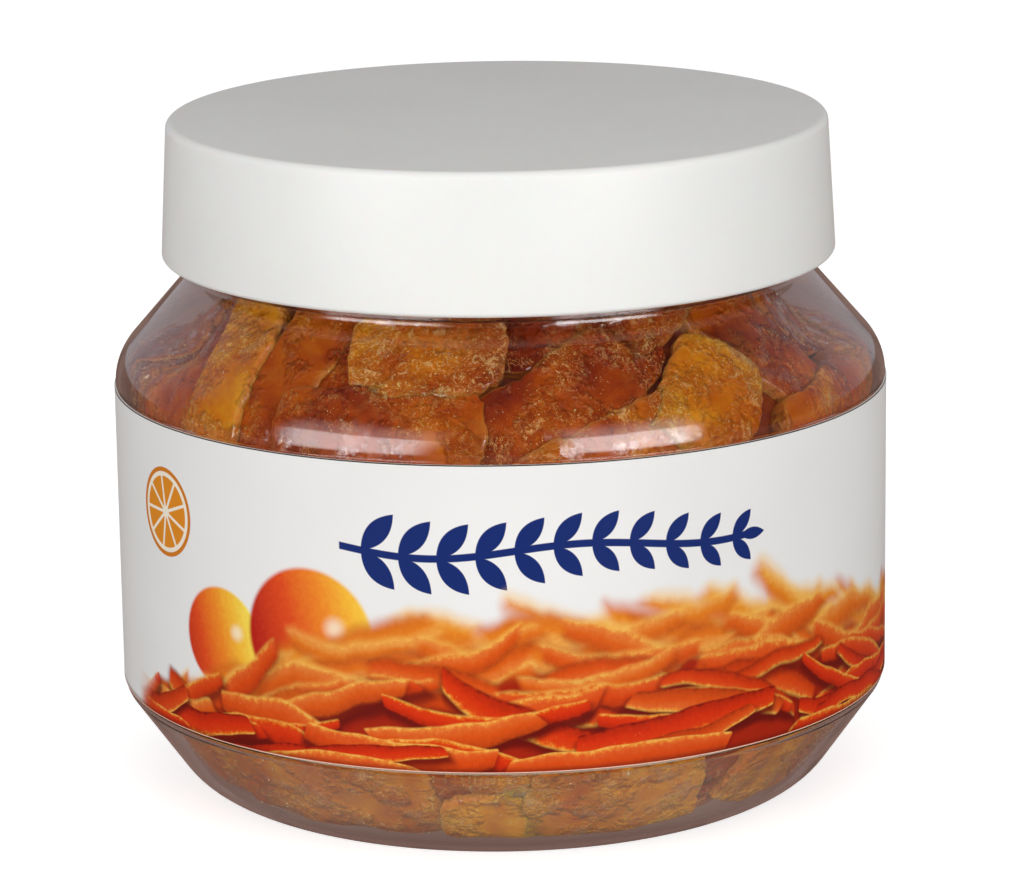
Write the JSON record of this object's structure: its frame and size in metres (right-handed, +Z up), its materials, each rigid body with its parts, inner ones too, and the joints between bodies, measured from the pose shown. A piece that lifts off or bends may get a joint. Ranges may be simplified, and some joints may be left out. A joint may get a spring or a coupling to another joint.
{
  "type": "jar of candied orange peel",
  "caption": "Squat clear screw-neck jar with a white cap and a wrap label, packed with glossy pieces of candied orange peel.",
  "frame": {"origin": "centre of the jar's foot, on the surface that it stands on", "axes": "+Z up along the jar's axis, -Y towards the front of the label, +X to the right of the front"},
  "size_m": [0.098, 0.098, 0.0855],
  "materials": {
    "clear_plastic": "clear blown plastic, glossy",
    "white_plastic": "white moulded plastic, satin",
    "printed_film": "printed label film, satin, off-white with an orange print",
    "candied_peel": "translucent sugared orange peel, moist and glossy"
  },
  "bodies": {
    "root": {"jar": "clear_plastic", "cap": "white_plastic", "label": "printed_film", "peel_heap": "candied_peel"}
  },
  "joints": []
}
